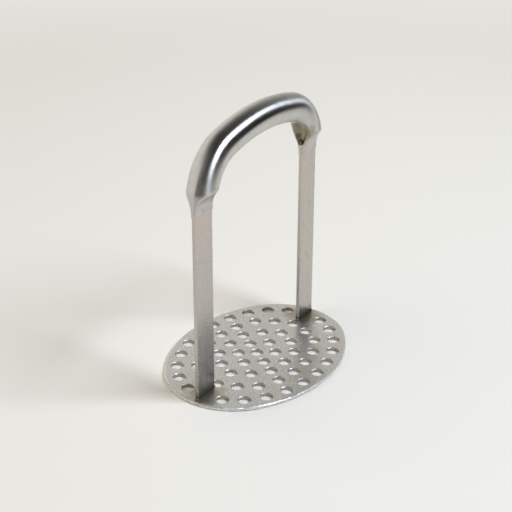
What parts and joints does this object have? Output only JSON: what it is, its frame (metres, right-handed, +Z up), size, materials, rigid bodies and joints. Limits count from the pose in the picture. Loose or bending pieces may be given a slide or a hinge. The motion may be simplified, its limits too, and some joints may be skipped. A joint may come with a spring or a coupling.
{
  "type": "potato masher",
  "caption": "Steel potato masher: oval perforated plate, flat legs at both ends of its long axis, and a bent tube handle pressed flat onto the legs.",
  "frame": {"origin": "middle of the plate's underside, on the plane that the masher stands on", "axes": "+Z up, through the handle; X through both legs, along the plate's length; Y across the legs"},
  "size_m": [0.1226, 0.0924, 0.1505],
  "materials": {
    "plate_steel": "matt, finely mottled stainless sheet with stamped holes",
    "leg_steel": "satin stainless strip, grain along the leg",
    "handle_steel": "bright brushed stainless tube, grain along the bend",
    "weld_steel": "small weld beads with brown heat tint"
  },
  "bodies": {
    "root": {"masher_plate": "plate_steel", "left_leg": "leg_steel", "right_leg": "leg_steel", "handle_tube": "handle_steel", "left_foot_welds": "weld_steel", "right_foot_welds": "weld_steel", "left_handle_weld": "weld_steel", "right_handle_weld": "weld_steel"}
  },
  "joints": []
}
